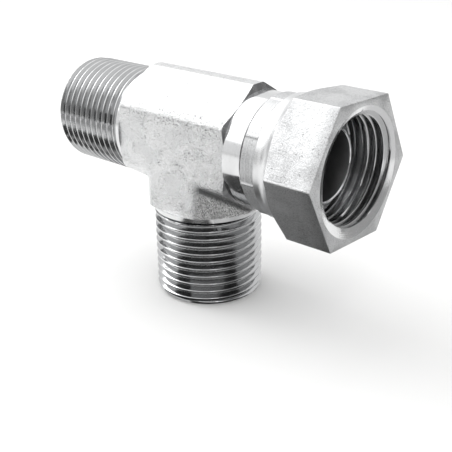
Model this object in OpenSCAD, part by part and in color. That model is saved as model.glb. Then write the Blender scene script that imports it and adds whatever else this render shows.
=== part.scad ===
/* [Thread] */
// Major diameter of the two male threads, and nominal diameter of the nut's thread
thread_d = 27; // [26:0.1:27.4]
// Pitch of all three threads
thread_pitch = 2; // [1.5:0.25:2.5]
// Length of the chamfer on the tip of a male thread
thread_tip = 1; // [0.7:0.1:1.8]

/* [Forged body] */
// Width of the forging over its front and back flats
flat_w = 26.3; // [25:0.1:27]
// Height of the forging over the trimmed ridges of its parting line
ridge_w = 30.6; // [29.5:0.1:31.5]
// Width of each trimmed ridge
ridge_land = 3.6; // [1:0.1:5]
// Width of the front and back flats
flat_face = 15.8; // [14:0.1:17]
// Radius of the forged long edges
edge_r = 1.1; // [0.3:0.1:2]
// From the crossing of the bores to each turned shoulder
block_half = 16.9; // [16:0.1:20]
// Length of the turned chamfer on the forging's corners
corner_cut = 0.8; // [0.6:0.1:2]
// Diameter at which that chamfer starts
corner_d = 31.8; // [31:0.1:33]
// Width of the flat ring between that chamfer and the turned part beside it
shoulder_ring = 0.05; // [0.05:0.05:0.4]

/* [Male ends] */
// From the crossing to the end face of the run's male thread
run_reach = 40.4; // [34:0.1:48]
// From the crossing to the end face of the branch
branch_reach = 40.4; // [34:0.1:48]
// Diameter of the plain band between the forging and a thread
pilot_d = 27.2; // [26.6:0.1:27.4]
// Length of that plain band
pilot_len = 1.2; // [0.6:0.1:3]
// Bore of the run and of the branch
passage_d = 15.5; // [8:0.1:17]
// Mouth of the seat cone in a male end
seat_mouth_d = 21.6; // [18:0.1:22.4]
// Included angle of the seat cones and of the nose
cone_angle = 60; // [50:1:90]

/* [Stub] */
// Diameter of the polished collar beside the forging
collar_d = 27.4; // [25:0.1:28]
// Length of that collar
collar_len = 5.1; // [3:0.1:8]
// Diameter of the groove that holds the nut's lip
groove_d = 21.8; // [19:0.1:22.6]
// Diameter of the head in front of that groove
head_d = 24; // [23:0.1:24.3]
// From the crossing to the tip of the nose
nose_reach = 36.3; // [35.6:0.1:37]
// Diameter of the flat ring at the tip of the nose
nose_tip_d = 17.8; // [16.8:0.1:20]
// Width of that flat ring
nose_ring = 0.7; // [0.3:0.1:1]

/* [Swivel nut] */
// Width of the hexagon across its flats
nut_af = 31.8; // [30.5:0.1:34]
// Turn of the nut about the run, as it stands at rest
nut_turn = 27.2; // [0:0.1:60]
// How far the nut's open face stands in front of the nose
nut_overhang = 7.8; // [7.1:0.1:10]
// Length of the hexagon at its corners
hex_len = 11.7; // [9:0.1:14]
// Radius of the hollow flare behind the hexagon
flare_r = 5; // [3.5:0.1:6]
// Diameter of the smooth neck behind the flare
neck_d = 29.2; // [28.4:0.1:30]
// Diameter over the pressed pads of the crimp
pad_d = 28.2; // [27:0.1:28.8]
// Number of pressed pads
pad_count = 8; // [6:1:12]
// Length of the pressed band
pad_len = 4; // [3:0.1:5]
// Height of the ridges left between the pads
pad_ridge = 0.25; // [0.1:0.05:0.4]
// Width of such a ridge, as an angle
ridge_turn = 2.5; // [1:0.5:6]
// Turn of the first ridge about the run
pad_start = 238.7; // [200:0.1:260]
// Bevel on the back edge of the pressed band
pad_bevel = 0.3; // [0.1:0.05:0.5]
// Length of the crimped lip inside the pads
lip_len = 3.7; // [2.5:0.1:4.5]
// Diameter of the countersink on the open face
mouth_d = 29.2; // [28:0.1:30]
// Included angle of that countersink
mouth_angle = 136; // [90:1:140]
// Diameter of the counterbore that clears the stub's head
counterbore_d = 25.5; // [25.2:0.1:26]
// From the nut's open face to the end of its full thread
full_thread = 5.9; // [4.5:0.1:7.2]
// Length of the shallow turns behind the full thread
shallow_thread = 5.4; // [3:0.1:6]
// Length of the runout groove behind the thread
runout_len = 1.8; // [1:0.1:3]
// Diameter of the runout groove
runout_d = 27.4; // [27:0.1:28]

/* [Fits] */
// Radial clearance between the head and the nut's bore
head_gap = 0.15; // [0.05:0.05:0.4]
// Radial clearance between the lip and the floor of its groove
lip_gap = 0.25; // [0.1:0.05:0.4]
// Gap between the collar and the back of the nut
back_gap = 0.3; // [0.1:0.05:0.6]
// End play of the lip in its groove
lip_play = 0.2; // [0.1:0.05:0.4]

/* [Hidden] */
$fn = 96;
steel = [0.80, 0.80, 0.78];
bright_steel = [0.86, 0.86, 0.85];

thread_r = thread_d / 2;
pilot_r = pilot_d / 2;
collar_r = collar_d / 2;
head_r = head_d / 2;
passage_r = passage_d / 2;
cone_half = cone_angle / 2;

// Basic 60 degree thread: the male crest is an eighth and the female crest a quarter of the pitch wide
male_depth = 0.6134 * thread_pitch;
female_depth = 0.5413 * thread_pitch;
minor_r = thread_r - female_depth;
male_crest = thread_pitch / 8;
female_crest = thread_pitch / 4;

collar_end = block_half + collar_len;
nut_reach = nose_reach + nut_overhang;
nut_back = collar_end + back_gap;
lip_end = nut_back + lip_len;
head_back = lip_end + lip_play;
lip_r = groove_d / 2 + lip_gap;
nut_bore_r = head_r + head_gap;
nose_len = (head_r - nose_tip_d / 2) / tan(cone_half);
thread_stop = nut_reach - full_thread;
shallow_stop = thread_stop - shallow_thread;
runout_stop = shallow_stop - runout_len;
hex_r = nut_af / 2 / cos(30);
hex_back = nut_reach - hex_len;
neck_r = neck_d / 2;
flare_back = hex_back - sqrt(flare_r * flare_r - pow(flare_r - (hex_r - neck_r), 2));
countersink = (mouth_d / 2 - thread_r) / tan(mouth_angle / 2);

// The forging's cross section, whose eight edges are rounded by circles that touch both sides
section_points = [
    for (p = [[ridge_w / 2, ridge_land / 2], [flat_face / 2, flat_w / 2]]) p,
    for (p = [[flat_face / 2, flat_w / 2], [ridge_w / 2, ridge_land / 2]]) [-p[0], p[1]],
    for (p = [[ridge_w / 2, ridge_land / 2], [flat_face / 2, flat_w / 2]]) [-p[0], -p[1]],
    for (p = [[flat_face / 2, flat_w / 2], [ridge_w / 2, ridge_land / 2]]) [p[0], -p[1]]
];
function unit(v) = v / norm(v);
function at(list, i) = list[(i + len(list)) % len(list)];
function toward(i, step) = unit(at(section_points, i + step) - section_points[i]);
function half_angle(i) = acos(toward(i, 1) * toward(i, -1)) / 2;
function touch(i, step) = section_points[i] + toward(i, step) * edge_r / tan(half_angle(i));
function centre(i) = section_points[i]
    + unit(toward(i, 1) + toward(i, -1)) * edge_r / sin(half_angle(i));

module section() {
    polygon([for (i = [0 : len(section_points) - 1]) for (step = [-1, 1]) touch(i, step)]);
    for (i = [0 : len(section_points) - 1]) translate(centre(i)) circle(r = edge_r);
}

// Turns a profile of [distance along the axis, radius] about +Z
module turned(points) {
    rotate_extrude() polygon([for (p = points) [p[1], p[0]]]);
}

module along_run() {
    rotate([0, 90, 0]) children();
}

// One turned shoulder of the forging: the corners are cut to the size of the turned part beside it
module shoulder_form(low, end_r) {
    turned([[low, 0], [low, corner_d / 2], [block_half - corner_cut, corner_d / 2],
        [block_half, end_r + shoulder_ring], [block_half, 0]]);
}

// Ridges of a male thread, counted back from the tip chamfer at high to the plain band at low
module male_thread(low, high) {
    flank = male_depth * tan(30);
    root_r = thread_r - male_depth;
    last = high - thread_tip - male_crest / 2;
    turns = floor((last - male_crest / 2 - flank - low) / thread_pitch) + 1;
    intersection() {
        turned(concat(
            [[low - 1, 0], [low - 1, root_r]],
            [for (i = [turns - 1 : -1 : 0])
                let (c = last - i * thread_pitch)
                for (p = [[-male_crest / 2 - flank, root_r], [-male_crest / 2, thread_r],
                    [male_crest / 2, thread_r], [male_crest / 2 + flank, root_r]])
                if (c + p[0] < high) [c + p[0], p[1]]],
            [[high, root_r], [high, 0]]));
        turned([[low - 2, 0], [low - 2, thread_r + 1], [high - thread_tip, thread_r + 1],
            [high - thread_tip, thread_r], [high, thread_r - thread_tip], [high, 0]]);
    }
}

// A male end of the given reach: plain band and thread, both pointing up
module male_end(reach) {
    translate([0, 0, block_half]) cylinder(h = pilot_len, r = pilot_r);
    male_thread(block_half + pilot_len, reach);
}

// A bore from start up to an end face at reach, with a seat cone that opens to mouth_r there
module bore(start, reach, mouth_r) {
    depth = (mouth_r - passage_r) / tan(cone_half);
    turned([[start, 0], [start, passage_r], [reach - depth, passage_r], [reach, mouth_r],
        [reach + 1, mouth_r], [reach + 1, 0]]);
}

// Collar, groove, head and nose that carry the nut
module stub() {
    turned([[block_half, 0], [block_half, collar_r], [collar_end, collar_r],
        [collar_end, groove_d / 2], [head_back, groove_d / 2], [head_back, head_r],
        [nose_reach - nose_len, head_r], [nose_reach, nose_tip_d / 2], [nose_reach, 0]]);
}

module tee_body() {
    color(steel) difference() {
        union() {
            along_run() intersection() {
                translate([0, 0, -block_half]) linear_extrude(height = 2 * block_half) section();
                shoulder_form(-block_half, collar_r);
                mirror([0, 0, 1]) shoulder_form(-block_half, pilot_r);
            }
            mirror([0, 0, 1]) intersection() {
                linear_extrude(height = block_half) section();
                shoulder_form(0, pilot_r);
            }
            mirror([0, 0, 1]) male_end(branch_reach);
            mirror([1, 0, 0]) along_run() male_end(run_reach);
            along_run() stub();
        }
        mirror([0, 0, 1]) bore(0, branch_reach, seat_mouth_d / 2);
        mirror([1, 0, 0]) along_run() bore(-1, run_reach, seat_mouth_d / 2);
        along_run() bore(-1, nose_reach, nose_tip_d / 2 - nose_ring);
    }
}

// The nut's outer form, turned and then cut to the hexagon
module nut_blank() {
    intersection() {
        difference() {
            turned([[nut_back, 0], [nut_back, pad_d / 2 - pad_bevel], [nut_back + pad_bevel, pad_d / 2],
                [nut_back + pad_len, pad_d / 2], [nut_back + pad_len, neck_r], [flare_back, neck_r],
                [flare_back, hex_r + 1], [nut_reach, hex_r + 1], [nut_reach, 0]]);
            flare_cut();
        }
        translate([0, 0, nut_back - 1]) cylinder(h = nut_reach, r = hex_r, $fn = 6);
    }
}

// The hollow flare is the inside of a ring whose centre circle lies outside the neck
module flare_cut() {
    rotate_extrude() difference() {
        translate([neck_r, flare_back - 0.5]) square([hex_r + 1 - neck_r + 1, hex_back - flare_back + 0.5]);
        difference() {
            translate([neck_r - 1, flare_back])
                square([hex_r + 3 - neck_r, hex_back - flare_back + 1]);
            translate([neck_r + flare_r, flare_back]) circle(r = flare_r);
        }
    }
}

// The nut's inside, as one turned form: lip, bore, runout groove, shallow turns, full thread and mouth
module nut_inside() {
    root_r = thread_r;
    flank = female_depth * tan(30);
    shallow_r = counterbore_d / 2;
    shallow_flank = (root_r - shallow_r) * tan(30);
    root = thread_pitch / 8;
    first = nut_reach - countersink - root / 2;
    roots = [for (i = [0 : 9]) first - i * thread_pitch];
    full = [for (c = roots) if (c - root / 2 - flank > thread_stop) c];
    shallow = [for (c = roots) if (c + root / 2 + shallow_flank < thread_stop
        && c - root / 2 - shallow_flank > shallow_stop) c];
    turned(concat(
        [[nut_back - 1, 0], [nut_back - 1, lip_r], [lip_end, lip_r], [lip_end, nut_bore_r],
            [runout_stop, nut_bore_r], [runout_stop, runout_d / 2], [shallow_stop, runout_d / 2],
            [shallow_stop, shallow_r]],
        [for (i = [len(shallow) - 1 : -1 : 0])
            for (p = [[-root / 2 - shallow_flank, shallow_r], [-root / 2, root_r],
                [root / 2, root_r], [root / 2 + shallow_flank, shallow_r]])
            [shallow[i] + p[0], p[1]]],
        [[thread_stop, shallow_r], [thread_stop, minor_r]],
        [for (i = [len(full) - 1 : -1 : 0])
            for (p = [[-root / 2 - flank, minor_r], [-root / 2, root_r],
                [root / 2, root_r], [root / 2 + flank, minor_r]])
            if (i > 0 || p[0] < root) [full[i] + p[0], p[1]]],
        [[nut_reach, mouth_d / 2], [nut_reach + 1, mouth_d / 2], [nut_reach + 1, 0]]));
}

// Ridges that the crimping jaws left between the pads
module pad_ridges() {
    for (i = [0 : pad_count - 1])
        rotate([0, 0, pad_start - nut_turn - ridge_turn / 2 + i * 360 / pad_count])
            rotate_extrude(angle = ridge_turn)
                translate([pad_d / 2 - pad_ridge, nut_back + pad_bevel])
                    square([2 * pad_ridge, pad_len - 2 * pad_bevel]);
}

module swivel_nut() {
    color(bright_steel) rotate([nut_turn, 0, 0]) along_run()
        difference() {
            union() {
                nut_blank();
                pad_ridges();
            }
            nut_inside();
        }
}

tee_body();
swivel_nut();
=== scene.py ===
import math

import bpy
import numpy as np
from mathutils import Matrix, Vector


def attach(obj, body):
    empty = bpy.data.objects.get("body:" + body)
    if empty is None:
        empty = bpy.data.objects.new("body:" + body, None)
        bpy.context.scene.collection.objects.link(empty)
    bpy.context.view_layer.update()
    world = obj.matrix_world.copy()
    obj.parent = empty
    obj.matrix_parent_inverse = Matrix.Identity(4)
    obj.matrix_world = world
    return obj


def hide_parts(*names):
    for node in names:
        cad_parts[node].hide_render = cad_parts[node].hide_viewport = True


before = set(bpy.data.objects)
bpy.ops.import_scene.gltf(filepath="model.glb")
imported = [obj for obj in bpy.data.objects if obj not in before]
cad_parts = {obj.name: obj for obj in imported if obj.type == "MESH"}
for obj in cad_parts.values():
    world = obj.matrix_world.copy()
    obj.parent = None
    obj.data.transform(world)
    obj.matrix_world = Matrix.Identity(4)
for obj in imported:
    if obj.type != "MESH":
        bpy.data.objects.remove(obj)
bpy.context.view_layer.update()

print("frame loaded")

# All sizes below are millimetres from the crossing of the bores. buildMesh turns them to metres.
shared = {
    "threadRadius": 13.5,
    "pitch": 2.0,
    "boreRadius": 7.75,
    "shoulder": 16.9,  # from the crossing to each turned shoulder
    "shoulderRing": 0.05,  # how far each shoulder stands out around the part that starts at it
    "coneHalf": 30,  # degrees, half the angle of the seats and of the nose
    "columns": 80,  # steps around half a turn
}


# Joins grids of points into one mesh. Each patch is (grid of rows x columns x 3, material number or one per
# row of faces, flip, wear from 0 to 1, or below 0 for painted shade in a crease). Points that fall together are
# merged, so neighbouring patches grow together and a row that has shrunk to a point closes itself.
def buildMesh(name, patches, materials, sharpAngle=32):
    points, faces, numbers, worn, start = [], [], [], [], 0
    for grid, number, flip, wear in patches:
        rows, columns = grid.shape[:2]
        worn.append(np.broadcast_to(wear, (rows, columns)).reshape(-1))
        index = start + np.arange(rows * columns).reshape(rows, columns)
        quads = np.stack([index[:-1, :-1], index[:-1, 1:], index[1:, 1:], index[1:, :-1]], -1)
        if flip:
            quads = quads[..., ::-1]
        numbers.append(np.repeat(np.broadcast_to(number, rows - 1), columns - 1))
        faces.append(quads.reshape(-1, 4))
        points.append(grid.reshape(-1, 3))
        start += rows * columns
    points, faces, numbers = map(np.concatenate, (points, faces, numbers))
    first, same = np.unique(np.round(points, 4), axis=0, return_index=True, return_inverse=True)[1:]
    points, faces, worn = points[first], same.reshape(-1)[faces], np.concatenate(worn)[first]
    equal = faces == np.roll(faces, -1, axis=1)
    crossed = (faces[:, 0] == faces[:, 2]) | (faces[:, 1] == faces[:, 3])
    whole = (equal.sum(1) == 0) & ~crossed
    single = (equal.sum(1) == 1) & ~crossed
    spot = equal[single].argmax(1)
    triangles = np.take_along_axis(faces[single], (spot[:, None] + np.arange(1, 4)) % 4, axis=1)
    corners = np.concatenate([faces[whole].reshape(-1), triangles.reshape(-1)])
    counts = np.concatenate([np.full(whole.sum(), 4), np.full(single.sum(), 3)])
    mesh = bpy.data.meshes.new(name)
    mesh.vertices.add(len(points))
    mesh.vertices.foreach_set("co", (points * 0.001).reshape(-1))
    mesh.loops.add(len(corners))
    mesh.loops.foreach_set("vertex_index", corners)
    mesh.polygons.add(len(counts))
    mesh.polygons.foreach_set("loop_start", np.cumsum(counts) - counts)
    mesh.polygons.foreach_set("material_index", np.concatenate([numbers[whole], numbers[single]]))
    mesh.update(calc_edges=True)
    # the wear attribute also carries painted crease shade, as values below 0
    mesh.attributes.new("wear", "FLOAT", "POINT").data.foreach_set("value", worn.astype(np.float32))
    mesh.validate()
    mesh.polygons.foreach_set("use_smooth", np.ones(len(mesh.polygons), bool))
    mesh.set_sharp_from_angle(angle=math.radians(sharpAngle))
    piece = bpy.data.objects.new(name, mesh)
    bpy.context.scene.collection.objects.link(piece)
    for material in materials:
        mesh.materials.append(material)
    print(name, "has", len(mesh.vertices), "points and", int((counts - 2).sum()), "triangles")
    return piece


# Points of a turned form: along the axis by s, and out from it by radius in the direction of angle, which turns
# right-handed about the axis, from +Y towards side.
def aroundAxis(axis, side, s, radius, angle):
    s, radius, angle = np.broadcast_arrays(s, radius, angle)
    axis, side, across = np.array(axis, float), np.array(side, float), np.array([0.0, 1.0, 0.0])
    return (s[..., None] * axis + (radius * np.cos(angle))[..., None] * across
            + (radius * np.sin(angle))[..., None] * side)


# Rows of a thread: each row keeps one place in the profile and climbs by one pitch per turn, so the rows are true
# helices. They are held between low and high, where they run together into a ring.
def helixRows(low, high, pitch, offsets, phase, angle):
    base = low - pitch + (phase - low) % pitch
    turns = np.arange(int((high - base) / pitch) + 3)
    starts = (base + turns[:, None] * pitch + np.sort(offsets)[None]).reshape(-1) - pitch
    rows = starts[:, None] + pitch * angle[None] / (2 * math.pi)
    return np.clip(rows, low, high)


# Distance along the axis from the nearest turn of a thread: 0 on the turn that phase gives, and half a pitch
# midway between two turns. Phase is a crest of the male threads and a root of the nut's.
def fromCrest(s, pitch, phase, angle):
    return np.abs((s - phase - pitch * angle / (2 * math.pi) + pitch / 2) % pitch - pitch / 2)


# 0 below low and 1 above high. Between them it is three times the square of the share of the way, less twice its
# cube.
def smoothStep(value, low, high):
    t = np.clip((value - low) / (high - low), 0, 1)
    return t * t * (3 - 2 * t)


# A new node, where each input takes a value or another node's socket
def addNode(tree, kind, inputs=None, **settings):
    node = tree.nodes.new(kind)
    for name, value in settings.items():
        setattr(node, name, value)
    for name, value in (inputs or {}).items():
        if isinstance(value, bpy.types.NodeSocket):
            tree.links.new(value, node.inputs[name])
        else:
            node.inputs[name].default_value = value
    return node


def calc(tree, operation, *values, clamp=False):
    return addNode(tree, "ShaderNodeMath", dict(enumerate(values)), operation=operation, use_clamp=clamp).outputs[0]


# 0 below low, 1 above high, and smooth between them
def ramp(tree, value, low, high):
    return addNode(tree, "ShaderNodeMapRange", {"Value": value, "From Min": low, "From Max": high},
                   interpolation_type="SMOOTHSTEP").outputs["Result"]


# The other way round: 1 below low and 0 above high
def fall(tree, value, low, high):
    return calc(tree, "SUBTRACT", 1.0, ramp(tree, value, low, high))


# Noise around 0.5, with its scale per millimetre
def noise(tree, vector, scale, detail=3.0, roughness=0.55):
    return addNode(tree, "ShaderNodeTexNoise", {"Vector": vector, "Scale": scale, "Detail": detail,
                                                "Roughness": roughness}).outputs[0]


# A mix of two colours by a mask
def blendColors(tree, mask, a, b):
    return addNode(tree, "ShaderNodeMix", {0: mask, 6: a, 7: b}, data_type="RGBA").outputs[2]


# Object coordinates in millimetres
def millimetres(tree):
    place = addNode(tree, "ShaderNodeTexCoord").outputs["Object"]
    return addNode(tree, "ShaderNodeVectorMath", {0: place, "Scale": 1000.0}, operation="SCALE").outputs[0]


def splitMillimetres(tree):
    return addNode(tree, "ShaderNodeSeparateXYZ", {0: millimetres(tree)}).outputs


# An empty shader group with named sockets, and its own two ends
def newGroup(name, inputs, outputs):
    group = bpy.data.node_groups.new(name, "ShaderNodeTree")
    for key, value in inputs.items():
        group.interface.new_socket(key, in_out="INPUT", socket_type="NodeSocketFloat").default_value = value
    for key in outputs:
        group.interface.new_socket(key, in_out="OUTPUT", socket_type="NodeSocketFloat")
    return group, group.nodes.new("NodeGroupInput").outputs, group.nodes.new("NodeGroupOutput").inputs


# What the shader groups share
skin = {
    "pitFade": 0.05,  # how far above its level a pit ends
    "crowdSize": 0.35,  # per mm, of the noise that crowds the pits
    "crowdShare": 0.25,
    "speckle": (0.32, 0.68),  # noise between which the speckle rises
    "cloudSize": 0.14,  # per mm
    "cloud": (0.3, 0.7),
    "forging": 15.5,  # half the size of the forging. Below it is the branch
    "aroundRun": 14.0,  # millimetres for one radian about the run, for marks along it
    "wear": (0.35, 0.85),  # between which the broken up attribute shows as wear
    # between which the crease mask shows as painted shade
    "crease": (0.25, 0.95),
}


# The skin of the metal: two sizes of noise added as a height in millimetres, a mask of small dark pits where a
# third noise, raised and lowered by a slow one, falls below a level, a speckle from the first noise and a slow
# cloud.
def makeGrainGroup():
    group, given, made = newGroup("metal_grain", {"Fine": 3.0, "Coarse": 0.9, "Fine height": 0.01,
                                                  "Coarse height": 0.02, "Pit size": 2.2, "Pit level": 0.34},
                                  ["Height", "Pits", "Speckle", "Cloud"])
    place = millimetres(group)
    speckle = noise(group, place, given["Fine"], 2.0, 0.6)
    fine = calc(group, "MULTIPLY", speckle, given["Fine height"])
    coarse = calc(group, "MULTIPLY", noise(group, place, given["Coarse"], 2.0), given["Coarse height"])
    spots = calc(group, "ADD", noise(group, place, given["Pit size"], 3.0, 0.75),
                 calc(group, "MULTIPLY", calc(group, "SUBTRACT", noise(group, place, skin["crowdSize"], 1.0), 0.5),
                      skin["crowdShare"]))
    pits = fall(group, spots, given["Pit level"], calc(group, "ADD", given["Pit level"], skin["pitFade"]))
    group.links.new(calc(group, "ADD", fine, coarse), made["Height"])
    group.links.new(pits, made["Pits"])
    group.links.new(ramp(group, speckle, *skin["speckle"]), made["Speckle"])
    group.links.new(ramp(group, noise(group, place, skin["cloudSize"], 2.0), *skin["cloud"]), made["Cloud"])
    return group


# Tool marks: noise along one line only, which is the distance along the arm plus the distance from its axis for
# turned marks, and the angle about the run for marks along it. The branch is the part below the forging.
def makeMarksGroup():
    group, given, made = newGroup("tool_marks", {"Per mm": 5.0, "Height": 0.002, "Lengthwise": 0.0},
                                  ["Height", "Streaks"])
    place, forging = splitMillimetres(group), skin["forging"]
    low = calc(group, "LESS_THAN", place["Z"], -forging)
    near = calc(group, "LESS_THAN", calc(group, "ABSOLUTE", place["X"]), forging)
    branch = calc(group, "MULTIPLY", low, near)
    along = calc(group, "ADD", calc(group, "MULTIPLY", place["Z"], branch),
                 calc(group, "MULTIPLY", place["X"], calc(group, "SUBTRACT", 1.0, branch)))
    other = calc(group, "ADD", calc(group, "MULTIPLY", place["X"], branch),
                 calc(group, "MULTIPLY", place["Z"], calc(group, "SUBTRACT", 1.0, branch)))
    out = calc(group, "SQRT", calc(group, "ADD", calc(group, "POWER", other, 2.0),
                                   calc(group, "POWER", place["Y"], 2.0)))
    turned = calc(group, "ADD", along, out)
    angle = calc(group, "MULTIPLY", calc(group, "ARCTAN2", place["Z"], place["Y"]), skin["aroundRun"])
    line = addNode(group, "ShaderNodeMix", {0: given["Lengthwise"], 2: turned, 3: angle}).outputs[0]
    marks = addNode(group, "ShaderNodeTexNoise", {"W": line, "Scale": given["Per mm"], "Detail": 3.0,
                                                  "Roughness": 0.6}, noise_dimensions="1D").outputs[0]
    group.links.new(calc(group, "MULTIPLY", marks, given["Height"]), made["Height"])
    group.links.new(marks, made["Streaks"])
    return group


# Edge wear: the wear attribute plus noise, between two values. Painted shade in a crease is the noise less the
# attribute, which is below 0 there.
def makeWearAndShadeGroup():
    group, given, made = newGroup("edge_wear_and_crease_shade", {"Break up": 1.5, "Depth": 0.5}, ["Mask", "Painted crease shade"])
    wear = addNode(group, "ShaderNodeAttribute", attribute_name="wear").outputs["Fac"]
    rough = calc(group, "MULTIPLY", calc(group, "SUBTRACT", noise(group, millimetres(group), given["Break up"]), 0.5),
                 given["Depth"])
    group.links.new(ramp(group, calc(group, "ADD", wear, rough), *skin["wear"]), made["Mask"])
    group.links.new(ramp(group, calc(group, "SUBTRACT", rough, wear), *skin["crease"]), made["Painted crease shade"])
    return group


grainGroup, marksGroup, wearAndShadeGroup = makeGrainGroup(), makeMarksGroup(), makeWearAndShadeGroup()


# More pits in a band along the forging's upper front edge: a noise below its level, between two heights.
def addEdgePits(tree, pits, band):
    place = splitMillimetres(tree)
    inside = calc(tree, "MULTIPLY", ramp(tree, place["Z"], band["bottom"], band["bottom"] + band["bottomFade"]),
                  fall(tree, place["Z"], band["top"] - band["topFade"], band["top"]))
    inside = calc(tree, "MULTIPLY", inside, calc(tree, "LESS_THAN", place["Y"], 0.0))
    spots = fall(tree, noise(tree, millimetres(tree), band["size"], 3.0, 0.75), *band["level"])
    return calc(tree, "MAXIMUM", pits, calc(tree, "MULTIPLY", inside, spots))


# The sandy front right face of the branch: past a plane on each of the three axes the metal is paler and has its
# own close pits.
def addSand(tree, pits, base, sand):
    place = splitMillimetres(tree)
    patch = calc(tree, "MULTIPLY", ramp(tree, place["X"], sand["left"], sand["left"] + sand["leftFade"]),
                 calc(tree, "LESS_THAN", place["Y"], sand["back"]))
    patch = calc(tree, "MULTIPLY", patch, fall(tree, place["Z"], sand["top"], sand["top"] + sand["topFade"]))
    grains = fall(tree, noise(tree, millimetres(tree), sand["size"], 2.0), *sand["level"])
    grains = calc(tree, "MULTIPLY", calc(tree, "MULTIPLY", patch, grains), sand["depth"])
    return calc(tree, "MAXIMUM", pits, grains), blendColors(tree, patch, base, (*sand["color"], 1))


# One zinc plated finish. The pits, the streaks, the cloud and the speckle darken the colour, painted shade darkens
# it in a crease, wear brightens and smooths it, and the heights of the grain and of the tool marks go into one bump.
def makeZinc(name, finish):
    material = bpy.data.materials.new(name)
    material.use_nodes = True
    tree = material.node_tree
    shader = tree.nodes["Principled BSDF"]
    shader.inputs["Metallic"].default_value = 1.0
    grain = addNode(tree, "ShaderNodeGroup", node_tree=grainGroup)
    marks = addNode(tree, "ShaderNodeGroup", node_tree=marksGroup)
    wear = addNode(tree, "ShaderNodeGroup", node_tree=wearAndShadeGroup)
    for node, values in ((grain, finish["grain"]), (marks, finish["marks"]), (wear, finish["wear"])):
        for key, value in values.items():
            node.inputs[key].default_value = value
    pits, cloud, streaks = grain.outputs["Pits"], grain.outputs["Cloud"], marks.outputs["Streaks"]
    base, dark, worn = ((*finish[key], 1) for key in ("color", "pitColor", "wornColor"))
    if "edgePits" in finish:
        pits = addEdgePits(tree, pits, finish["edgePits"])
    if "sand" in finish:
        pits, base = addSand(tree, pits, base, finish["sand"])
    mask = calc(tree, "MULTIPLY", pits, finish["pitDepth"])
    smooth = calc(tree, "SUBTRACT", 1.0, grain.outputs["Speckle"])
    dull = calc(tree, "MULTIPLY_ADD", calc(tree, "SUBTRACT", streaks, 0.5), finish["streakDepth"], 0.0)
    dull = calc(tree, "MULTIPLY_ADD", calc(tree, "SUBTRACT", cloud, 0.5), finish["cloudDepth"], dull)
    dull = calc(tree, "MULTIPLY_ADD", smooth, finish["speckle"], dull)
    # painted shade in the corner between run and branch: this mask darkens the colour towards the pit colour
    crease = calc(tree, "MULTIPLY", wear.outputs["Painted crease shade"], finish["paintedCreaseShadeDepth"])
    color = blendColors(tree, mask, base, dark)
    color = blendColors(tree, calc(tree, "ADD", dull, 0.0, clamp=True), color, dark)
    color = blendColors(tree, crease, color, dark)
    color = blendColors(tree, calc(tree, "MULTIPLY", wear.outputs["Mask"], finish["wearDepth"]), color, worn)
    tree.links.new(color, shader.inputs["Base Color"])
    rough = calc(tree, "MULTIPLY_ADD", calc(tree, "SUBTRACT", cloud, 0.5), finish["roughSpread"], finish["rough"])
    rough = calc(tree, "MULTIPLY_ADD", mask, finish["pitRough"], rough)
    rough = calc(tree, "MULTIPLY_ADD", wear.outputs["Mask"], -finish["wearSmooth"], rough)
    tree.links.new(calc(tree, "MAXIMUM", rough, 0.05, clamp=True), shader.inputs["Roughness"])
    height = calc(tree, "ADD", grain.outputs["Height"], marks.outputs["Height"])
    height = calc(tree, "MULTIPLY_ADD", mask, -finish["pitSink"], height)
    bump = addNode(tree, "ShaderNodeBump", {"Height": height, "Strength": 1.0, "Distance": 0.001})
    tree.links.new(bump.outputs["Normal"], shader.inputs["Normal"])
    return material


# What the finishes share. Heights are in millimetres. The dictionaries further down change some of it.
zinc = {
    "color": (0.70, 0.705, 0.71),
    "pitColor": (0.16, 0.16, 0.165),
    "wornColor": (0.78, 0.785, 0.79),
    "grain": {"Fine": 3.0, "Coarse": 0.9, "Fine height": 0.002, "Coarse height": 0.003, "Pit size": 2.2,
              "Pit level": 0.28},
    "marks": {"Per mm": 5.0, "Height": 0.0006},
    "wear": {"Break up": 1.5, "Depth": 0.5},
    "pitDepth": 0.5,
    "pitSink": 0.01,
    "pitRough": 0.3,
    "speckle": 0.06,
    "streakDepth": 0.15,
    "cloudDepth": 0.15,
    "wearDepth": 0.6,
    "wearSmooth": 0.08,
    # how dark the painted crease shade gets
    "paintedCreaseShadeDepth": 0.6,
    "rough": 0.2,
    "roughSpread": 0.1,
}

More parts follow.
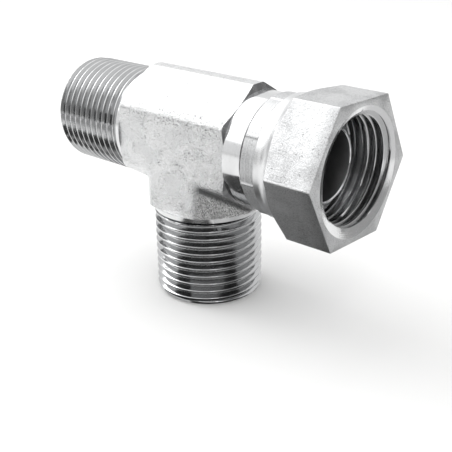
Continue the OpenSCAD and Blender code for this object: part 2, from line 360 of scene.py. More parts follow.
body = {
    "width": 26.3,  # over the front and back flats
    "height": 30.6,  # over the trimmed ridges
    "ridge": 3.6,  # width of a ridge
    "flat": 15.8,  # width of the front and back flats
    "flatEdge": 2.4,  # radius of the long edges beside the front and back flats
    "ridgeEdge": 1.1,  # and beside the ridges
    "crease": 1.8,  # radius in the corner between run and branch
    "creaseHeight": 6,  # where that radius is full. It shrinks from there to nothing at the flats
    "creaseRoom": 0.85,  # and takes up no more than this share of the way to the shoulder
    "paintedCreaseShade": (-0.3, -0.8, -1.0, -0.8, -0.3),  # painted shade in the rows of that corner, given as wear below 0
    "creaseFrom": (7.4, 8.4),  # heights on the section between which the painted shade sets in
    "cornerCut": 0.8,  # length of the turned chamfer
    "cornerReach": 15.9,  # radius at which that chamfer starts
    "forged": {  # grey forged skin with a fine grain
        "color": (0.82, 0.825, 0.83), "rough": 0.27, "roughSpread": 0.10, "pitDepth": 0.85, "pitSink": 0.04,
        "speckle": 0.4, "streakDepth": 0.0, "cloudDepth": 0.08,
        "grain": {"Fine": 3.8, "Coarse": 1.1, "Fine height": 0.15, "Coarse height": 0.07, "Pit size": 3.4,
                  "Pit level": 0.35},
        "marks": {"Per mm": 1.0, "Height": 0.0},
        "edgePits": {"bottom": 3.5, "bottomFade": 3.0, "top": 9.5, "topFade": 1.0, "size": 1.9,
                     "level": (0.41, 0.45)},
        "sand": {"left": 7.4, "leftFade": 0.8, "back": -1.5, "top": -11.0, "topFade": 1.0, "size": 3.2,
                 "level": (0.40, 0.50), "depth": 0.75, "color": (1.0, 1.0, 0.995)},
    },
    "turned": {"rough": 0.12, "roughSpread": 0.06, "marks": {"Per mm": 6.0, "Height": 0.0008}},
    # The male threads: their darker grey is partly oil and thinner plating, partly painted shade between the crests.
    "thread": {"color": (0.51, 0.515, 0.52), "wornColor": (0.60, 0.605, 0.61), "rough": 0.14,
               "marks": {"Per mm": 5.0, "Height": 0.004}, "streakDepth": 0.4,
               "grain": {"Fine": 3.0, "Coarse": 0.9, "Fine height": 0.001, "Coarse height": 0.002,
                         "Pit size": 2.2, "Pit level": 0.28}, "wearDepth": 0.7},
    # The bores and the nose inside the nut: their darker grey is partly oil and partly painted shade of the hollows.
    "bore": {"color": (0.42, 0.42, 0.425), "rough": 0.36, "marks": {"Per mm": 3.0, "Height": 0.003}},
    # The turned chamfers at the ends of the run: their dark grey is painted shade.
    "facet": {"color": (0.30, 0.30, 0.305), "rough": 0.34, "wearDepth": 0.2,
              "marks": {"Per mm": 4.0, "Height": 0.004}},
}
# Material slots of the tee body, in the order in which makeTee makes them
forgedSlot, turnedSlot, threadSlot, boreSlot, facetSlot = range(5)

maleEnd = {
    "reach": 40.4,
    "pilotRadius": 13.6,
    "pilotLength": 1.2,
    "pilotEdge": 0.15,
    "tip": 1.0,  # depth of the chamfer at the open end
    "depth": 1.2268,  # of the thread
    "profile": [[0, 0], [0.07, 0.0], [0.14, 0.03], [0.18, 0.085], [0.22, 0.155], [0.77, 1.12], [0.83, 1.20],
                [0.90, 1.2268], [1.0, 1.2268]],  # (distance from the crest, depth there)
    "runIn": (0.1, 0.55),  # where the first turn rises, past the plain band
    "crestWear": (0.03, 0.12),  # depths between which the wear ends
    "wearFrom": 0.3,  # and how far past the plain band it starts
    "seatRadius": 10.8,
    "seatEdge": (0.1, 0.08),  # how far the seat's edge reaches out and in
    "runPhase": 38.232,  # a crest of the run's thread on the +Y side
    "branchPhase": 17.687,  # and of the branch's
}

stub = {
    "collarRadius": 13.7,
    "collarEnd": 22.0,
    "grooveRadius": 10.9,
    "headBack": 26.2,
    "headRadius": 12.0,
    "noseReach": 36.3,
    "tipRadius": 8.9,
    "edge": 0.12,  # of the collar
    "tipEdge": (0.15, 0.087),  # along the axis and across it, at the nose's edge
    "tipRound": 0.1,
    "ringWidth": 0.6,
    "ringEdge": (0.17, 0.2),  # and at the inner edge of the ring
    "seatSlope": 12,  # degrees, the narrow seat inside the nose
}


# Half of the forging's section as radius against angle, from one flat over a ridge to the other flat. Its
# straight sides are chords, and each corner is the arc of a circle that touches both of its sides.
def forgedSection():
    high, wide = body["height"] / 2, body["width"] / 2
    quarter = np.array([[0, -wide], [body["flat"] / 2, -wide], [high, -body["ridge"] / 2], [high, 0]], float)
    corners = np.concatenate([quarter, quarter[-2::-1] * [1, -1]])  # (height, depth)
    angles = [np.linspace(0, math.pi, shared["columns"] + 1)]
    arcs = []
    rounding = [(1, body["flatEdge"]), (2, body["ridgeEdge"]), (4, body["ridgeEdge"]), (5, body["flatEdge"])]
    for i, bend in rounding:
        here = corners[i]
        back, ahead = corners[i - 1] - here, corners[i + 1] - here
        back, ahead = back / np.linalg.norm(back), ahead / np.linalg.norm(ahead)
        half = math.acos(back @ ahead) / 2
        centre = here + (back + ahead) / np.linalg.norm(back + ahead) * bend / math.sin(half)
        touch = [here + way * bend / math.tan(half) for way in (back, ahead)]
        span = sorted(math.atan2(p[0], -p[1]) for p in touch)
        arcs.append((centre, span, bend))
        angles.append(np.linspace(*span, 7))
    angle = np.unique(np.round(np.concatenate(angles), 5))
    angle[-1] = math.pi
    way = np.stack([np.sin(angle), -np.cos(angle)], -1)
    radius = np.full(len(angle), np.inf)
    for a, b in zip(corners[:-1], corners[1:]):  # chords: where the ray from the centre meets each side's line
        normal = np.array([b[1] - a[1], -(b[0] - a[0])])
        with np.errstate(divide="ignore"):
            reach = (normal @ a) / (way @ normal)
        radius = np.where(reach > 0, np.minimum(radius, reach), radius)
    for centre, span, bend in arcs:
        middle = way @ centre
        reach = middle + np.sqrt(np.maximum(middle**2 - centre @ centre + bend**2, 0))
        inside = (angle >= span[0] - 1e-6) & (angle <= span[1] + 1e-6)
        radius = np.where(inside, reach, radius)
    return angle, radius


halfAngle, sectionRadius = forgedSection()
# The whole ring of columns, measured from +Y (the back) and so that both halves use the same angles
ringAngle = np.concatenate([halfAngle, 2 * math.pi - halfAngle[-2::-1]])


# Wear on the long edges, by the distance between a column and the edge: 1 up to near, and 0 a spread further on.
def edgeWear(near=0.4, spread=0.7):
    place = np.stack([sectionRadius * np.sin(halfAngle), sectionRadius * np.cos(halfAngle)], -1)
    edges = [[body["height"] / 2, body["ridge"] / 2], [body["flat"] / 2, body["width"] / 2]]
    away = [np.hypot(place[:, 0] - p[0], np.abs(place[:, 1]) - p[1]) for p in edges]
    return 1 - smoothStep(np.minimum(*away), near, near + spread)


# Where the turned chamfer of an end cuts each column: a cone from cornerReach down to the turned part's radius.
def chamferStart(radius, endRadius):
    share = (radius - endRadius) / (body["cornerReach"] - endRadius)
    return shared["shoulder"] - np.clip(share, 0, 1) * body["cornerCut"]


# A skin that follows the tee's three arms: every column of the section runs straight along one arm, turns through
# a quarter circle of radius fillet at the corner and runs on along the branch. height and depth give the section,
# ends are the places where each column stops on the -X, +X and -Z arms, and steps is the number of rows on an arm.
# Gives the top of the run, then its left and right half with the branch.
def armSkins(height, depth, ends, fillet, steps):
    u = np.linspace(0, 1, steps + 1)[:, None]

    def half(end, start):
        return start[None] + (end - start)[None] * u

    zero = np.zeros_like(height)
    left, right, down = ends
    top = np.concatenate([-half(left, zero)[::-1], half(right, zero)[1:]])
    grids = [np.stack([top, np.broadcast_to(depth, top.shape), np.broadcast_to(height, top.shape)], -1)]
    turn = np.linspace(0, math.pi / 2, len(body["paintedCreaseShade"]) + 2)[1:-1, None]
    corner = height + fillet
    for sign, end in ((-1, left), (1, right)):
        along = half(end, corner)[::-1]
        below = half(down, corner)
        x = np.concatenate([along, corner - fillet * np.sin(turn), np.broadcast_to(height, below.shape)])
        z = np.concatenate([np.broadcast_to(height, along.shape), corner - fillet * np.cos(turn), below])
        grids.append(np.stack([sign * x, np.broadcast_to(depth, x.shape), -z], -1))
    return grids


# The turned chamfer at the end of each arm: one more row in the shoulder's plane, where each column's height and
# depth shrink by the rim's share of its radius.
def addChamferRows(grids, rims, height, depth, radius):
    top, left, right = grids
    scale = [rim / radius for rim in rims]
    far = shared["shoulder"]

    def row(x, z, share):
        return np.stack([np.broadcast_to(x, height.shape), depth * share, z * share], -1)[None]

    def foot(sign, share):
        return np.stack([sign * height * share, depth * share, np.full_like(height, -far)], -1)[None]

    top = np.concatenate([row(-far, height, scale[0]), top, row(far, height, scale[1])])
    left = np.concatenate([row(-far, -height, scale[0]), left, foot(-1, scale[2])])
    right = np.concatenate([row(far, -height, scale[1]), right, foot(1, scale[2])])
    return [top, left, right]


# The tee body: the forging's skin, the skin of the bores inside it, and the three ends turned about their axes.
def makeTee():
    # the section is the same front and back, so an angle of 0 points along +Y here, as in every ring
    height, depth = sectionRadius * np.sin(halfAngle), sectionRadius * np.cos(halfAngle)
    pilotRim, collarRim = (r + shared["shoulderRing"] for r in (maleEnd["pilotRadius"], stub["collarRadius"]))
    rimRadius = [pilotRim, collarRim, pilotRim]
    ends = [chamferStart(sectionRadius, r) for r in rimRadius]
    rims = [np.minimum(sectionRadius, r) for r in rimRadius]
    room = np.minimum(np.minimum(ends[0], ends[1]), ends[2]) - height
    fillet = np.minimum(body["crease"] * np.clip(height / body["creaseHeight"], 0, 1), body["creaseRoom"] * room)
    steps = 8
    outer = addChamferRows(armSkins(height, depth, ends, fillet, steps), rims, height, depth, sectionRadius)
    edge = edgeWear()
    patches = [(outer[0], [facetSlot] + [forgedSlot] * (len(outer[0]) - 3) + [facetSlot], False, edge)]
    creaseRows = slice(steps + 2, steps + 2 + len(body["paintedCreaseShade"]))  # after the chamfer's row and the arm's
    for grid, flip in ((outer[1], True), (outer[2], False)):
        wear = np.broadcast_to(edge, grid.shape[:2]).copy()
        # the corner's rows take painted shade, carried as wear below 0
        wear[creaseRows] = np.outer(body["paintedCreaseShade"], smoothStep(height, *body["creaseFrom"]))
        patches.append((grid, [facetSlot] + [forgedSlot] * (len(grid) - 2), flip, wear))

    bore = shared["boreRadius"]
    seat = (maleEnd["seatRadius"] - bore) / math.tan(math.radians(shared["coneHalf"]))
    ring = stub["tipRadius"] - stub["ringWidth"]
    noseSeat = (ring - bore) / math.tan(math.radians(stub["seatSlope"]))
    boreEnds = [np.full_like(height, v) for v in
                (maleEnd["reach"] - seat, stub["noseReach"] - noseSeat, maleEnd["reach"] - seat)]
    inner = armSkins(bore * np.sin(halfAngle), bore * np.cos(halfAngle), boreEnds, np.zeros_like(height), 6)
    patches += [(grid, boreSlot, flip, 0.0) for grid, flip in zip(inner, (True, False, True))]

    wholeSection = np.concatenate([sectionRadius, sectionRadius[-2::-1]])
    rim = np.minimum(wholeSection, pilotRim)
    maleEnds = [((-1, 0, 0), (0, 0, -1), maleEnd["runPhase"]), ((0, 0, -1), (1, 0, 0), maleEnd["branchPhase"])]
    for axis, side, phase in maleEnds:
        s, radius, slots, wear = maleRows(rim, phase, seat)
        patches.append((aroundAxis(axis, side, s, radius, ringAngle), slots, False, wear))
    s, radius, slots = stubRows(np.minimum(wholeSection, collarRim), ring, noseSeat)
    patches.append((aroundAxis((1, 0, 0), (0, 0, 1), s, radius, ringAngle), slots, False, 0.0))
    parts = ("forged", "turned", "thread", "bore", "facet")
    finishes = [makeZinc("zinc_" + part, {**zinc, **body[part]}) for part in parts]
    return buildMesh("tee_body_surface", patches, finishes)


# Rows of a plain turned form from a list of (distance along the axis, radius, material of the strip that follows)
def turnedRows(profile):
    s = np.array([p[0] for p in profile], float)[:, None] * np.ones_like(ringAngle)
    radius = np.array([p[1] for p in profile], float)[:, None] * np.ones_like(ringAngle)
    return s, radius, [p[2] for p in profile]


# The male thread: radius is the crest radius less the depth at that distance from the crest, and no more than
# the chamfer cone at the tip allows.
def maleRows(rim, phase, seat):
    m, pitch, top, edge = maleEnd, shared["pitch"], shared["threadRadius"], maleEnd["pilotEdge"]
    low, high = shared["shoulder"] + m["pilotLength"], m["reach"]
    table = np.array(m["profile"])
    steps = table[1:-1, 0]
    s = helixRows(low, high, pitch, np.concatenate([steps, -steps]), phase, ringAngle)
    cut = np.interp(fromCrest(s, pitch, phase, ringAngle[None]), table[:, 0], table[:, 1])
    cut = np.maximum(cut, m["depth"] * (1 - smoothStep(s, low + m["runIn"][0], low + m["runIn"][1])))
    radius = np.minimum(top - cut, top - m["tip"] + (high - s))
    head = turnedRows([[shared["shoulder"], m["pilotRadius"], turnedSlot], [low - edge, m["pilotRadius"], turnedSlot],
                       [low, m["pilotRadius"] - edge, turnedSlot]])
    out, inward = m["seatEdge"]
    tail = turnedRows([[high, m["seatRadius"] + out, turnedSlot], [high - edge, m["seatRadius"] - inward, turnedSlot],
                       [high - seat, shared["boreRadius"], turnedSlot]])
    start = np.full((1, len(ringAngle)), shared["shoulder"])
    crest = (1 - smoothStep(cut, *m["crestWear"])) * (s > low + m["wearFrom"])
    slots = [turnedSlot] + head[2] + [threadSlot] * (len(s) - 1) + [turnedSlot] + tail[2][:-1]
    allRadius = np.concatenate([rim[None], head[1], radius, tail[1]])
    wear = np.concatenate([0 * start, 0 * head[0], crest, 0 * tail[0]])
    return np.concatenate([start, head[0], s, tail[0]]), allRadius, slots, wear


# The stub: collar, groove, head and nose, each a cylinder or a cone about the run
def stubRows(rim, ring, noseSeat):
    t, edge, reach = stub, stub["edge"], stub["noseReach"]
    nose = reach - (t["headRadius"] - t["tipRadius"]) / math.tan(math.radians(shared["coneHalf"]))
    (tipDepth, tipStep), (ringDepth, ringStep) = t["tipEdge"], t["ringEdge"]
    far = shared["shoulder"]
    profile = [[far, t["collarRadius"], turnedSlot], [t["collarEnd"] - edge, t["collarRadius"], turnedSlot],
               [t["collarEnd"], t["collarRadius"] - edge, turnedSlot],
               [t["collarEnd"], t["grooveRadius"], turnedSlot],
               [t["headBack"], t["grooveRadius"], turnedSlot], [t["headBack"], t["headRadius"], turnedSlot],
               [nose, t["headRadius"], boreSlot],
               [reach - tipDepth, t["tipRadius"] + tipStep, turnedSlot],
               [reach, t["tipRadius"] - t["tipRound"], turnedSlot], [reach, ring + ringStep, turnedSlot],
               [reach - ringDepth, ring, boreSlot], [reach - noseSeat, shared["boreRadius"], boreSlot]]
    s, radius, slots = turnedRows(profile)
    start = np.full((1, len(ringAngle)), far)
    return np.concatenate([start, s]), np.concatenate([rim[None], radius]), [turnedSlot] + slots[:-1]


tee = makeTee()
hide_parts("tee_body")
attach(tee, "tee")
print("tee body made")

nut = {
    "overFlats": 31.8,
    "turn": 27.2,  # degrees about the run
    "face": 44.1,
    "hexLength": 11.7,
    "cornerRound": 0.35,
    "faceEdge": 0.15,  # of the open face, with a point on its rounding
    "faceRound": (0.04, 0.05),
    "flare": 5.0,  # radius of the hollow between neck and hexagon
    "neckRadius": 14.6,
    "neckEdge": (0.05, 0.12),  # along the run and across it, at the pads
    "neckFrom": 0.2,  # from the pads' end to the full neck
    "neckTo": 0.4,  # and from there to the hollow
    "back": 22.3,
    "backEdge": 0.3,
    "padLength": 4.0,
    "padRadius": 14.1,
    "padEdge": (0.12, 0.1),  # along the run and across it, at the neck
    "padCount": 8,
    "padStart": 238.7,  # degrees about the run, at the first ridge
    "padRidge": 0.25,
    "ridgeFall": (0.5, 2.0),  # degrees from a ridge's middle between which it falls away
    "ridgeColumns": [-2.2, -1.4, -0.7, 0, 0.7, 1.4, 2.2],  # degrees
    "ridgeFrom": 0.45,  # from the back to where the ridges are full
    "ridgeTo": 0.6,  # and from there to the pads' end
    "ridgeTail": (0.25, 0.9),  # closer to that end, and the share of the ridge there
    "mouthRadius": 14.6,
    "mouthAngle": 136,  # degrees, the whole countersink
    "mouthEdge": (0.05, 0.03, 0.02),  # out on the face, then down along the run and in from the mouth's radius
    "minorRadius": 12.417,
    "profile": [[0, 0], [0.11, 0.01], [0.18, 0.08], [0.22, 0.15], [0.70, 1.0], [0.75, 1.065], [0.83, 1.083],
                [1.0, 1.083]],  # (distance from a root, height over it)
    "flankRow": 0.55,  # one more row on the flank
    "threadEnd": 38.2,
    "threadFade": 0.4,
    "shallowEnd": 32.8,
    "shallowFade": 0.5,
    "shallowRadius": 12.75,
    "runoutEnd": 31.0,
    "runoutRadius": 13.7,
    "boreRadius": 12.15,
    "lipEnd": 26.0,
    "lipRadius": 11.15,
    "phase": 43.04,  # a root of the thread on the +Y side
    "crestWear": (0.03, 0.25),  # distances from the crest between which the wear ends
    "wearFrom": 0.2,  # from the shallow turns to where it starts
    "cornerWear": (0.1, 0.35),  # and from the corner's radius, on the hexagon
    "flat": {  # the hexagon's flats, dull and finely speckled
        "color": (0.67, 0.675, 0.68), "rough": 0.41, "roughSpread": 0.14, "pitDepth": 0.75, "speckle": 0.38,
        "cloudDepth": 0.3, "wearDepth": 0.4,
        "grain": {"Fine": 3.4, "Coarse": 0.8, "Fine height": 0.075, "Coarse height": 0.05, "Pit size": 3.2,
                  "Pit level": 0.33},
        "marks": {"Per mm": 4.0, "Height": 0.0012, "Lengthwise": 1.0},
    },
    "turned": {"rough": 0.3, "cloudDepth": 0.3, "streakDepth": 0.3, "marks": {"Per mm": 5.0, "Height": 0.002}},
    "pad": {  # pressed and dull
        "color": (0.64, 0.645, 0.65), "rough": 0.46, "speckle": 0.3, "streakDepth": 0.9, "pitDepth": 0.7,
        "grain": {"Fine": 3.2, "Coarse": 1.0, "Fine height": 0.03, "Coarse height": 0.02, "Pit size": 3.0,
                  "Pit level": 0.33},
        "marks": {"Per mm": 3.5, "Height": 0.012},
    },
    # The nut's thread: its darker grey is partly oil and partly painted shade inside the nut.
    "thread": {"color": (0.56, 0.563, 0.567), "wornColor": (0.84, 0.845, 0.85), "rough": 0.2, "streakDepth": 0.6,
               "marks": {"Per mm": 4.5, "Height": 0.012}, "wearDepth": 0.7},
}


# The hexagon: radius is the flat's distance over the cosine of the angle from its middle, and a small circle
# rounds each corner.
def hexSection(angle):
    n, apothem = nut, nut["overFlats"] / 2
    fromFlat = (angle - math.radians(n["turn"]) + math.pi / 6) % (math.pi / 3) - math.pi / 6
    radius = apothem / np.cos(fromFlat)
    centre = (apothem - n["cornerRound"]) / math.cos(math.pi / 6)
    fromCorner = math.pi / 6 - np.abs(fromFlat)
    rounded = centre * np.cos(fromCorner) + np.sqrt(
        np.maximum(n["cornerRound"] ** 2 - (centre * np.sin(fromCorner)) ** 2, 0))
    touch = math.atan((apothem - n["cornerRound"]) * math.tan(math.pi / 6) / apothem)
    return np.where(np.abs(fromFlat) > touch, rounded, radius)


# Material slots of the nut, in the order in which makeNut makes them
nutFlat, nutTurned, nutPad, nutThread = range(4)


# The nut's ring of columns: every two degrees, closer at the hexagon's corners and at the ridges between the pads.
def nutAngles():
    n, sixth = nut, math.pi / 6
    apothem = n["overFlats"] / 2
    touch = sixth - math.atan((apothem - n["cornerRound"]) * math.tan(sixth) / apothem)
    corners = math.radians(n["turn"]) + sixth + np.arange(6) * math.pi / 3
    near = (corners[:, None] + np.linspace(-touch, touch, 7)[None]).reshape(-1)
    ridges = math.radians(n["padStart"]) + np.arange(n["padCount"]) * 2 * math.pi / n["padCount"]
    nearRidge = (ridges[:, None] + np.radians(n["ridgeColumns"])[None]).reshape(-1)
    even = np.linspace(0, 2 * math.pi, 181)[:-1]
    angle = np.unique(np.round(np.concatenate([even, near % (2 * math.pi), nearRidge % (2 * math.pi)]), 4))
    return np.append(angle, angle[0] + 2 * math.pi), ridges[0]


# The nut's outside from the back edge to the open face, in rows of (distance along the run, radius, material of
# the strip that follows). In the hollow the radius is the neck's plus a circle's rise, up to the hexagon's radius
# at each column.
def nutOutside(hexRadius, cornerRadius, ridge):
    n, face, neck, flare = nut, nut["face"], nut["neckRadius"], nut["flare"]
    back, padEnd, pad = n["back"], n["back"] + n["padLength"], n["padRadius"]
    flareBack = face - n["hexLength"] - math.sqrt(flare**2 - (flare - (cornerRadius - neck)) ** 2)
    reach = np.sqrt(flare**2 - (neck + flare - hexRadius) ** 2)  # how far along the hollow meets each column
    flatStart, flatEnd = flareBack + reach, face - n["faceEdge"]
    rows = [
        (back, n["lipRadius"], nutTurned), (back, pad - n["backEdge"], nutTurned),
        (back + n["backEdge"], pad, nutPad),
        (back + n["ridgeFrom"], pad + n["padRidge"] * ridge, nutPad),
        (padEnd - n["ridgeTo"], pad + n["padRidge"] * ridge, nutPad),
        (padEnd - n["ridgeTail"][0], pad + n["padRidge"] * ridge * n["ridgeTail"][1], nutPad),
        (padEnd - n["padEdge"][0], pad - n["padEdge"][1], nutTurned),
        (padEnd + n["neckEdge"][0], neck - n["neckEdge"][1], nutTurned),
        (padEnd + n["neckFrom"], neck, nutTurned), (flareBack - n["neckTo"], neck, nutTurned)]
    for share in np.linspace(0, 1, 9):
        radius = neck + flare - np.sqrt(flare**2 - (reach * share) ** 2)
        rows.append((flareBack + reach * share, radius, nutTurned if share < 1 else nutFlat))
    rows += [(flatStart + (flatEnd - flatStart) * share, hexRadius, nutFlat) for share in (0.25, 0.5, 0.75)]
    out, down, inward = n["mouthEdge"]
    rows += [(flatEnd, hexRadius, nutFlat), (face - n["faceRound"][0], hexRadius - n["faceRound"][1], nutFlat),
             (face, hexRadius - n["faceEdge"], nutFlat), (face, n["mouthRadius"] + out, nutTurned),
             (face - down, n["mouthRadius"] - inward, nutThread)]
    ones = np.ones_like(hexRadius)
    return np.array([r[0] * ones for r in rows]), np.array([r[1] * ones for r in rows]), [r[2] for r in rows]


# The nut's thread from the countersink back to the run-out: radius is the root's less the profile's height at that
# distance from a root, and no less than the hole's own radius or the countersink's cone.
def nutThreadRows(angle):
    n, pitch, top = nut, shared["pitch"], shared["threadRadius"]
    table = np.array(n["profile"])
    steps = np.append(table[1:-1, 0], n["flankRow"])
    sinkSlope = math.tan(math.radians(n["mouthAngle"] / 2))
    sinkEnd = n["face"] - (n["mouthRadius"] - top) / sinkSlope
    s = helixRows(n["runoutEnd"], sinkEnd, pitch, np.concatenate([steps, -steps]), n["phase"], angle)[::-1]
    radius = top - np.interp(fromCrest(s, pitch, n["phase"], angle[None]), table[:, 0], table[:, 1])
    shallow = 1 - smoothStep(s, n["threadEnd"] - n["threadFade"], n["threadEnd"])
    runout = 1 - smoothStep(s, n["shallowEnd"] - n["shallowFade"], n["shallowEnd"])
    wide = n["minorRadius"] + (n["shallowRadius"] - n["minorRadius"]) * shallow
    wide = wide + (n["runoutRadius"] - n["shallowRadius"]) * runout
    mouth = n["mouthRadius"] - (n["face"] - s) * sinkSlope
    crest = np.where(s > sinkEnd - 0.001, 1, 1 - smoothStep(radius - wide, *n["crestWear"]))
    crest = crest * (s > n["shallowEnd"] + n["wearFrom"])
    return s, np.maximum(np.maximum(radius, wide), mouth), crest


# The swivel nut: its outside, its thread and the plain bore and lip behind it, in one skin about the run.
def makeNut():
    n = nut
    angle, firstRidge = nutAngles()
    hexRadius, cornerRadius = hexSection(angle), n["overFlats"] / 2 / math.cos(math.pi / 6)
    half = math.pi / n["padCount"]
    offRidge = np.abs((angle - firstRidge + half) % (2 * math.pi / n["padCount"]) - half)
    ridge = 1 - smoothStep(np.degrees(offRidge), *n["ridgeFall"])
    outerS, outerRadius, slots = nutOutside(hexRadius, cornerRadius, ridge)
    s, radius, crest = nutThreadRows(angle)
    tail = np.array([[n["runoutEnd"], n["boreRadius"]], [n["lipEnd"], n["boreRadius"]],
                     [n["lipEnd"], n["lipRadius"]], [n["back"], n["lipRadius"]]])
    tailS, tailRadius = (tail[:, k, None] * np.ones_like(angle) for k in (0, 1))
    allS, allRadius = np.concatenate([outerS, s, tailS]), np.concatenate([outerRadius, radius, tailRadius])
    slots += [nutThread] * (len(allS) - 1 - len(slots))
    grid = aroundAxis((1, 0, 0), (0, 0, 1), allS, allRadius, angle)
    onHex = np.isclose(outerRadius, hexRadius[None], atol=n["faceRound"][1] + 0.01)
    outerWear = onHex * (1 - smoothStep(np.abs(hexRadius - cornerRadius), *n["cornerWear"]))[None]
    outerWear[-1] = 1  # the edge of the countersink
    wear = np.concatenate([outerWear, crest, 0 * tailS])
    finishes = [makeZinc("nut_" + part, {**zinc, **nut[part]}) for part in ("flat", "turned", "pad", "thread")]
    return buildMesh("swivel_nut_surface", [(grid, slots, False, wear)], finishes)


swivelNut = makeNut()
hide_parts("swivel_nut")
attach(swivelNut, "nut")
print("swivel nut made")

view = {
    "azimuth": 41.397,
    "elevation": 23.722,
    "roll": -0.897,
    "frame": 452,  # width in pixels that the focal length is counted in
    "focal": 855.65,
    "sensor": 36,  # millimetres
    "place": (0.1360, -0.14765, 0.06358),
}


# The camera stands at its place and looks back along its azimuth and elevation, turned by its roll.
def makeCamera():
    a, e, r = (math.radians(view[k]) for k in ("azimuth", "elevation", "roll"))
    back = np.array([math.sin(a) * math.cos(e), -math.cos(a) * math.cos(e), math.sin(e)])
    right = np.array([math.cos(a), math.sin(a), 0.0])
    up = np.cross(back, right)
    across, above = right * math.cos(r) + up * math.sin(r), up * math.cos(r) - right * math.sin(r)
    data = bpy.data.cameras.new("camera")
    data.sensor_width = view["sensor"]
    data.lens = view["sensor"] * view["focal"] / view["frame"]
    data.clip_start = 0.01
    camera = bpy.data.objects.new("camera", data)
    bpy.context.scene.collection.objects.link(camera)
    matrix = Matrix.Identity(4)
    for i in range(3):
        matrix[i][0], matrix[i][1], matrix[i][2], matrix[i][3] = across[i], above[i], back[i], view["place"][i]
    camera.matrix_world = matrix
    bpy.context.scene.camera = camera


makeCamera()
print("camera set")

# A light has the azimuth and elevation that it comes from, its distance, size and brightness. Cards are grey boards
# that only the metal's reflections see, each with its corners and a grey. Lengths are metres.
studio = {
    "floor": -0.04041,
    "floorSize": 3.0,
    "floorColor": (0.935, 0.935, 0.93),
    "world": 0.88,  # how strongly the white surrounding lights matt surfaces. In the metal it shows as 1
    "lights": {
        "key": ((172.0, 62.0), 0.5, 0.5, 0.92),
        "fill": ((-138.0, 36.0), 0.6, 0.4, 0.9),
        "glint": ((-40.0, 50.0), 0.5, 0.12, 3.0),
        "band": ((-172.0, 38.0), 0.5, 0.24, 3.2),
    },
    "cards": {  # the first ones lie on the floor: painted shade, seen only in reflections, for the part's own shadow on the floor and for a dark object in front of it that is not built
        "card_right": ([(0.013, -0.006, -0.03995), (0.16, -0.14, -0.03995), (0.17, 0.14, -0.03995),
                        (0.02, 0.05, -0.03995)], 0.62),
        "card_front": ([(-0.0062, -0.0136, -0.0399), (-0.026, -0.050, -0.0399), (0.002, -0.074, -0.0399),
                        (0.045, -0.056, -0.0399), (0.055, -0.018, -0.0399), (0.057, 0.0065, -0.0399),
                        (0.0137, 0.0005, -0.0399)], 0.04),
        "card_near": ([(0.004, -0.0175, -0.0398), (0.002, -0.031, -0.0398), (0.030, -0.0150, -0.0398),
                       (0.029, -0.0095, -0.0398), (0.0135, -0.011, -0.0398)], 0.42),
        "card_side": ([(0.069, -0.055, -0.0399), (0.110, -0.060, -0.0399), (0.110, -0.012, -0.0399),
                       (0.069, -0.014, -0.0399)], 0.9),
        "card_low": ([(-0.02, -0.100, -0.0399), (0.05, -0.085, -0.0399), (0.12, -0.065, -0.0399),
                      (0.26, -0.085, -0.0399), (0.22, -0.20, -0.0399), (-0.05, -0.26, -0.0399)], 0.35),
        # and these stand upright: beyond the nut, beyond the run, on the camera's side and to its left
        "card_back": ([(0.50, -0.20, -0.05), (0.12, 0.52, -0.05), (0.12, 0.52, 0.20), (0.50, -0.20, 0.20)], 0.32),
        "card_run": ([(-0.237, -0.208, -0.03), (-0.283, -0.144, -0.03), (-0.283, -0.144, 0.07),
                      (-0.237, -0.208, 0.07)], 0.28),
        "card_viewer": ([(-0.04, -0.45, -0.04), (0.50, -0.05, -0.04), (0.50, -0.05, 0.12), (-0.04, -0.45, 0.12)],
                        0.25),
        "card_left": ([(-0.24, -0.40, -0.20), (-0.02, -0.49, -0.20), (-0.02, -0.49, 0.13), (-0.24, -0.40, 0.13)],
                      0.08),
    },
}


# A unit vector towards an azimuth about Z, from +X, and an elevation
def direction(azimuth, elevation):
    a, e = math.radians(azimuth), math.radians(elevation)
    return Vector((math.cos(a) * math.cos(e), math.sin(a) * math.cos(e), math.sin(e)))


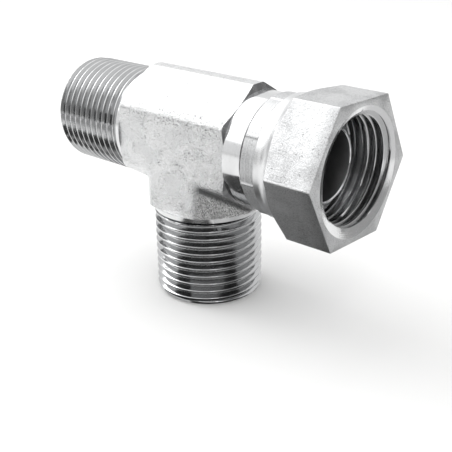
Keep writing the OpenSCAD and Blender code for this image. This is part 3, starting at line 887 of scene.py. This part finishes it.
# A flat matt board that belongs to the stage
def flatPiece(name, corners, color):
    mesh = bpy.data.meshes.new(name)
    mesh.from_pydata(corners, [], [tuple(range(len(corners)))])
    piece = bpy.data.objects.new(name, mesh)
    bpy.context.scene.collection.objects.link(piece)
    material = bpy.data.materials.new(name)
    material.use_nodes = True
    shader = material.node_tree.nodes["Principled BSDF"]
    shader.inputs["Base Color"].default_value = (*color, 1)
    shader.inputs["Roughness"].default_value = 0.9
    shader.inputs["Specular IOR Level"].default_value = 0.1
    mesh.materials.append(material)
    return piece


# A square softbox that shows in the metal with the given brightness, where 1 is white
def softbox(name, place, distance, size, brightness):
    light = bpy.data.lights.new(name, "AREA")
    light.shape = "SQUARE"
    light.size = size
    light.energy = brightness * math.pi * size**2
    lamp = bpy.data.objects.new(name, light)
    bpy.context.scene.collection.objects.link(lamp)
    lamp.location = direction(*place) * distance
    lamp.rotation_mode = "QUATERNION"
    lamp.rotation_quaternion = direction(*place).to_track_quat("Z", "Y")
    lamp.visible_camera = False


# Floor, cards, softboxes and the white surrounding
def makeStage():
    s = studio
    size, z = s["floorSize"], s["floor"]
    flatPiece("floor", [(-size, -size, z), (size, -size, z), (size, size, z), (-size, size, z)], s["floorColor"])
    for name, (corners, grey) in s["cards"].items():
        card = flatPiece(name, corners, (grey, grey, grey))
        card.visible_camera = card.visible_diffuse = card.visible_shadow = False
    for name, values in s["lights"].items():
        softbox(name, *values)
    world = bpy.data.worlds.new("studio")
    bpy.context.scene.world = world
    world.use_nodes = True
    tree = world.node_tree
    rays = addNode(tree, "ShaderNodeLightPath").outputs
    seen = calc(tree, "MAXIMUM", calc(tree, "MAXIMUM", rays["Is Camera Ray"], rays["Is Glossy Ray"]),
                rays["Is Transmission Ray"])
    strength = calc(tree, "MULTIPLY_ADD", seen, 1.0 - s["world"], s["world"])
    background = tree.nodes["Background"]
    background.inputs["Color"].default_value = (1, 1, 1, 1)
    tree.links.new(strength, background.inputs["Strength"])
    bpy.context.scene.view_settings.view_transform = "Standard"


makeStage()
print("stage made")
